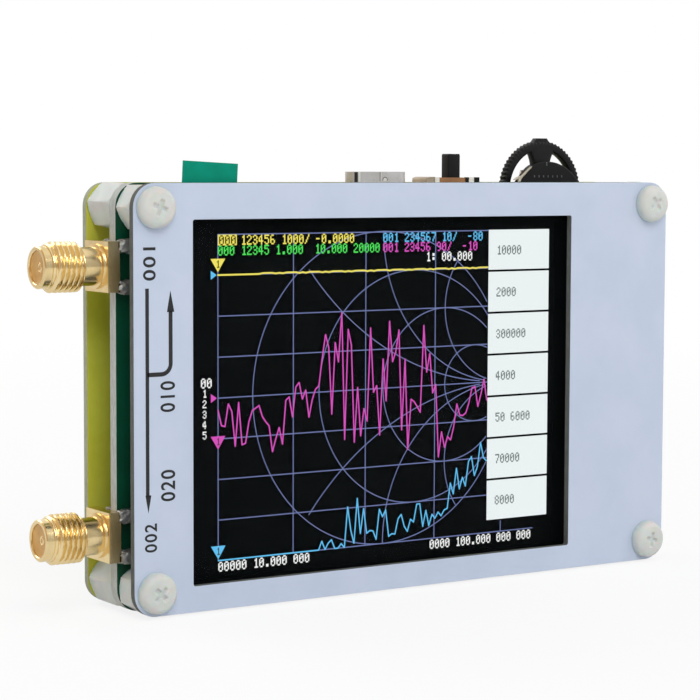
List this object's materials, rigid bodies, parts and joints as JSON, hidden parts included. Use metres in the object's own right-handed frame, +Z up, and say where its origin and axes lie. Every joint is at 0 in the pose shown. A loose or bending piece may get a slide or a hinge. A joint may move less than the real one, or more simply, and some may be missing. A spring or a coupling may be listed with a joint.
{
  "type": "antenna analyzer",
  "caption": "Pocket two-port antenna analyzer of stacked open plates with a lit touch display, threaded ports, slide switch and thumb wheel.",
  "frame": {"origin": "middle of the main board's thickness, halfway along the lower edge that the analyzer stands on", "axes": "+X to the right seen from the display, +Y towards the back plate, +Z up"},
  "size_m": [0.0956, 0.0179, 0.0604],
  "materials": {
    "white_board": "satin solder mask, light blue grey",
    "green_board": "satin solder mask, dark green",
    "bare_board": "bare laminate, yellow green",
    "nylon": "translucent white nylon",
    "gold": "gold plated, polished",
    "insulator": "smooth, tan",
    "solder": "dull solder",
    "clear_film": "clear film",
    "tab_green": "smooth film, teal green",
    "clear_glass": "clear",
    "black_plastic": "fine matt, black",
    "dark_glass": "dark glass",
    "white_plastic": "smooth, white",
    "copper_film": "flexible circuit, amber",
    "tin_steel": "tin plated sheet",
    "brown_laminate": "brown laminate",
    "silver_foil": "crinkled foil pouch",
    "red_wire": "smooth insulation, red",
    "black_wire": "smooth insulation, black",
    "chip_black": "moulded package, black",
    "capacitor_tan": "ceramic, tan"
  },
  "bodies": {
    "main": {"audio_codec": "chip_black", "back_plate": "bare_board", "back_screws": "nylon", "back_standoffs": "nylon", "backlight_frame": "black_plastic", "battery_cell": "silver_foil", "battery_header": "white_plastic", "battery_plug": "white_plastic", "battery_tape": "white_plastic", "battery_wire_black": "black_wire", "battery_wire_red": "red_wire", "capacitors": "capacitor_tan", "charger_chip": "chip_black", "clock_generator": "chip_black", "crystal": "tin_steel", "display_tape": "white_plastic", "film_tab": "tab_green", "front_plate": "white_board", "front_screws": "nylon", "front_standoffs": "nylon", "jog_base": "black_plastic", "jog_cover": "tin_steel", "jog_spring": "tin_steel", "jog_terminals": "tin_steel", "lcd_driver": "chip_black", "lcd_flex": "copper_film", "lcd_front_glass": "dark_glass", "lcd_rear_glass": "dark_glass", "light_guide": "white_plastic", "main_board": "green_board", "microcontroller": "chip_black", "port_1_body": "gold", "port_1_contact": "gold", "port_1_insulator": "insulator", "port_2_body": "gold", "port_2_contact": "gold", "port_2_insulator": "insulator", "port_solder": "solder", "power_coil": "chip_black", "regulators": "chip_black", "resistors": "chip_black", "rf_mixers": "chip_black", "screen_film": "clear_film", "shield_cans": "tin_steel", "status_lamp": "white_plastic", "switch_base": "brown_laminate", "switch_frame": "tin_steel", "switch_terminals": "tin_steel", "touch_gasket": "black_plastic", "touch_panel": "clear_glass", "usb_contacts": "gold", "usb_shell": "tin_steel", "usb_tongue": "black_plastic"},
    "lever": {"power_lever": "black_plastic"},
    "carrier": {"jog_carrier": "black_plastic"},
    "wheel": {"jog_wheel": "black_plastic"}
  },
  "joints": [
    {"name": "power_slide", "type": "slide", "parent": "main", "child": "lever", "axis": [-1, 0, 0], "range_m": [0, 0.0015]},
    {"name": "jog_push", "type": "slide", "parent": "main", "child": "carrier", "axis": [0, 0, -1], "range_m": [0, 0.0005], "stiffness_N_per_m": 1500},
    {"name": "jog_turn", "type": "hinge", "parent": "carrier", "child": "wheel", "pos_m": [0.0263, 0.0027, 0.05315], "axis": [0, -1, 0], "range_deg": [-12, 12], "stiffness_Nm_per_rad": 0.01}
  ]
}
